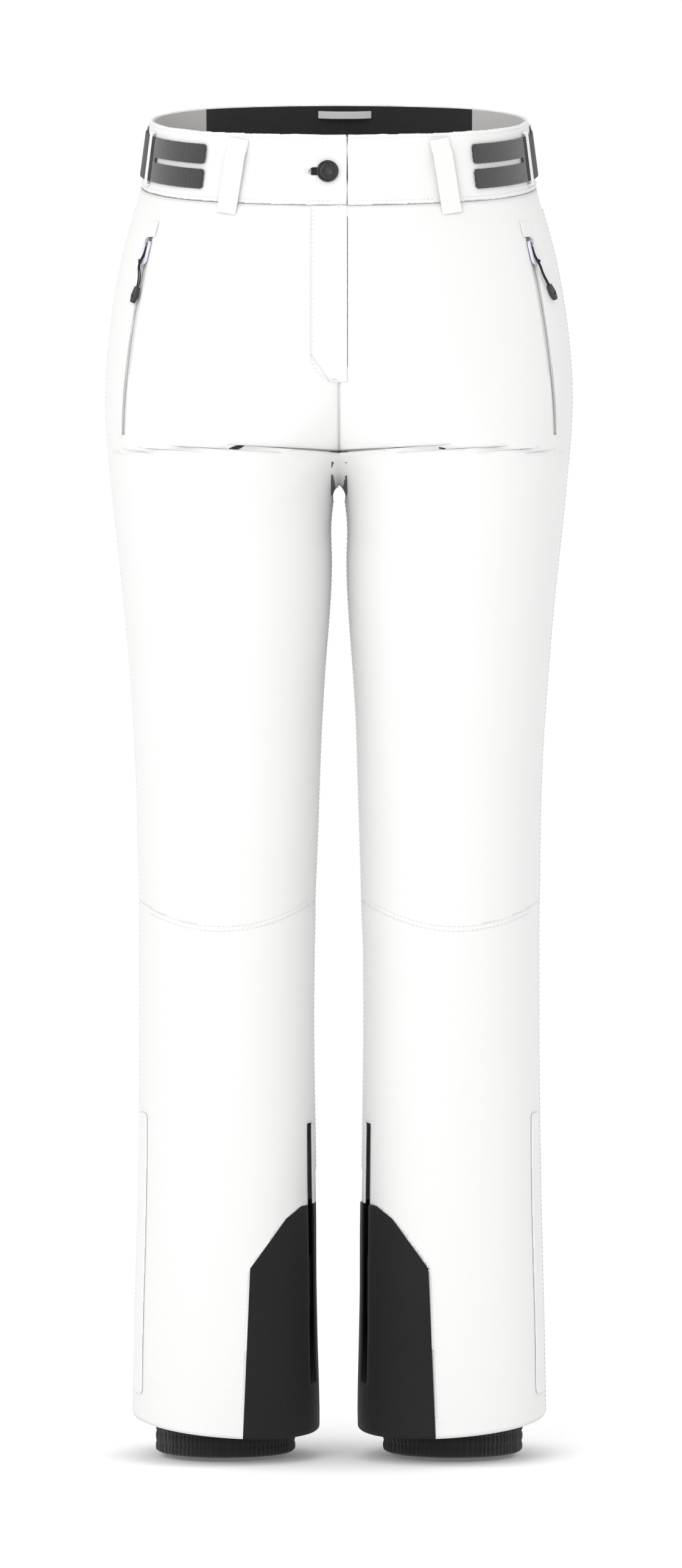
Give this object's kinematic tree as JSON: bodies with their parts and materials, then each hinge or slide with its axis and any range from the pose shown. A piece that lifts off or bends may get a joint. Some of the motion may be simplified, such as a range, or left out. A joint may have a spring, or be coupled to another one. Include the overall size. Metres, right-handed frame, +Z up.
{
  "type": "ski pants",
  "caption": "Full-length ski trousers with hook-and-loop waist adjusters, zipped hand pockets, scuff guards and inner snow gaiters.",
  "frame": {"origin": "centre of the waist opening, at the waistband's top edge beside the hips", "axes": "+Z up along the wearer, -Y towards the wearer's front, +X towards the wearer's left"},
  "size_m": [0.3702, 0.2593, 1.0823],
  "materials": {
    "white_shell": "matt woven nylon with a fine coated face",
    "black_guard": "matt heavy woven nylon",
    "grey_gusset": "matt stretch fabric",
    "black_lining": "brushed soft facing",
    "black_elastic": "ruched elastic",
    "hook_and_loop": "loop pile",
    "zip_tape": "coated zip tape with a spiral coil",
    "zip_slider": "lacquered zinc",
    "pull_plastic": "moulded, pale lilac white",
    "cord": "braided",
    "toggle": "moulded, dark grey",
    "button_metal": "black lacquer",
    "tack_steel": "plain steel"
  },
  "bodies": {
    "root": {"adjuster_keeper_left": "white_shell", "adjuster_keeper_right": "white_shell", "adjuster_tunnels": "white_shell", "back_panel_left": "white_shell", "back_panel_right": "white_shell", "belt_loop_back": "white_shell", "belt_loop_front_left": "white_shell", "belt_loop_front_right": "white_shell", "button_tack": "tack_steel", "calf_panel_left": "white_shell", "calf_panel_right": "white_shell", "crotch_gusset": "grey_gusset", "fly_lap": "white_shell", "fly_shield": "black_lining", "fly_zip_tape": "zip_tape", "front_panel_left": "white_shell", "front_panel_right": "white_shell", "gaiter_skirt_left": "black_elastic", "gaiter_skirt_right": "black_elastic", "hanger_loop": "white_shell", "leg_placket_left": "white_shell", "leg_placket_right": "white_shell", "leg_zip_tape_left": "zip_tape", "leg_zip_tape_right": "zip_tape", "pocket_bag_left": "black_lining", "pocket_bag_right": "black_lining", "pocket_patches": "white_shell", "pocket_welt_left": "white_shell", "pocket_welt_right": "white_shell", "pocket_zip_tape_left": "zip_tape", "pocket_zip_tape_right": "zip_tape", "scuff_guard_left": "black_guard", "scuff_guard_right": "black_guard", "shin_panel_left": "white_shell", "shin_panel_right": "white_shell", "waist_facing_back": "black_lining", "waist_facing_sides": "white_shell", "waist_tongue": "black_lining", "waistband_back": "white_shell", "waistband_front_left": "white_shell", "waistband_front_right": "white_shell"},
    "button": {"button_cap": "button_metal"},
    "fly_slider": {"fly_zip_slider": "zip_slider"},
    "pocket_slider_left": {"pocket_slider_left": "zip_slider"},
    "pocket_pull_left": {"pocket_puller_left": "pull_plastic", "pocket_cord_left": "cord", "pocket_toggle_left": "toggle"},
    "adjuster_left": {"adjuster_strap_left": "black_elastic", "adjuster_tab_left": "hook_and_loop"},
    "leg_slider_left": {"leg_zip_slider_left": "zip_slider"},
    "gaiter_left": {"gaiter_elastic_left": "black_elastic"},
    "pocket_slider_right": {"pocket_slider_right": "zip_slider"},
    "pocket_pull_right": {"pocket_puller_right": "pull_plastic", "pocket_cord_right": "cord", "pocket_toggle_right": "toggle"},
    "adjuster_right": {"adjuster_strap_right": "black_elastic", "adjuster_tab_right": "hook_and_loop"},
    "leg_slider_right": {"leg_zip_slider_right": "zip_slider"},
    "gaiter_right": {"gaiter_elastic_right": "black_elastic"}
  },
  "joints": [
    {"name": "button_turn", "type": "hinge", "parent": "root", "child": "button", "pos_m": [-0.009, -0.09418, -0.05085], "axis": [0, -1, 0], "continuous": true},
    {"name": "fly_zip", "type": "slide", "parent": "root", "child": "fly_slider", "axis": [0, -0.069, -0.9976], "range_m": [0, 0.09]},
    {"name": "pocket_zip_left", "type": "hinge", "parent": "root", "child": "pocket_slider_left", "pos_m": [-0.35902, 0.33683, -0.27005], "axis": [0.5967, 0.8017, 0.0349], "range_deg": [0, 13.2]},
    {"name": "pocket_pull_swing_left", "type": "hinge", "parent": "pocket_slider_left", "child": "pocket_pull_left", "pos_m": [0.15058, -0.04979, -0.10146], "axis": [-0.5967, -0.8017, -0.0349], "range_deg": [0, 150]},
    {"name": "waist_adjuster_left", "type": "hinge", "parent": "root", "child": "adjuster_left", "pos_m": [0.062, 0, 0], "axis": [0, -0.2284, 0.9736], "range_deg": [-4, 18]},
    {"name": "leg_zip_left", "type": "slide", "parent": "root", "child": "leg_slider_left", "axis": [-0.0191, 0, 0.9998], "range_m": [0, 0.175]},
    {"name": "gaiter_push_up_left", "type": "slide", "parent": "root", "child": "gaiter_left", "axis": [0, 0, 1], "range_m": [0, 0.05], "deforming": ["gaiter_skirt_left"]},
    {"name": "pocket_zip_right", "type": "hinge", "parent": "root", "child": "pocket_slider_right", "pos_m": [0.35902, 0.33683, -0.27005], "axis": [0.5967, -0.8017, -0.0349], "range_deg": [0, 13.2]},
    {"name": "pocket_pull_swing_right", "type": "hinge", "parent": "pocket_slider_right", "child": "pocket_pull_right", "pos_m": [-0.15058, -0.04979, -0.10146], "axis": [-0.5967, 0.8017, 0.0349], "range_deg": [0, 150]},
    {"name": "waist_adjuster_right", "type": "hinge", "parent": "root", "child": "adjuster_right", "pos_m": [-0.062, 0, 0], "axis": [0, 0.2284, -0.9736], "range_deg": [-4, 18]},
    {"name": "leg_zip_right", "type": "slide", "parent": "root", "child": "leg_slider_right", "axis": [0.0191, 0, 0.9998], "range_m": [0, 0.175]},
    {"name": "gaiter_push_up_right", "type": "slide", "parent": "root", "child": "gaiter_right", "axis": [0, 0, 1], "range_m": [0, 0.05], "deforming": ["gaiter_skirt_right"]}
  ]
}
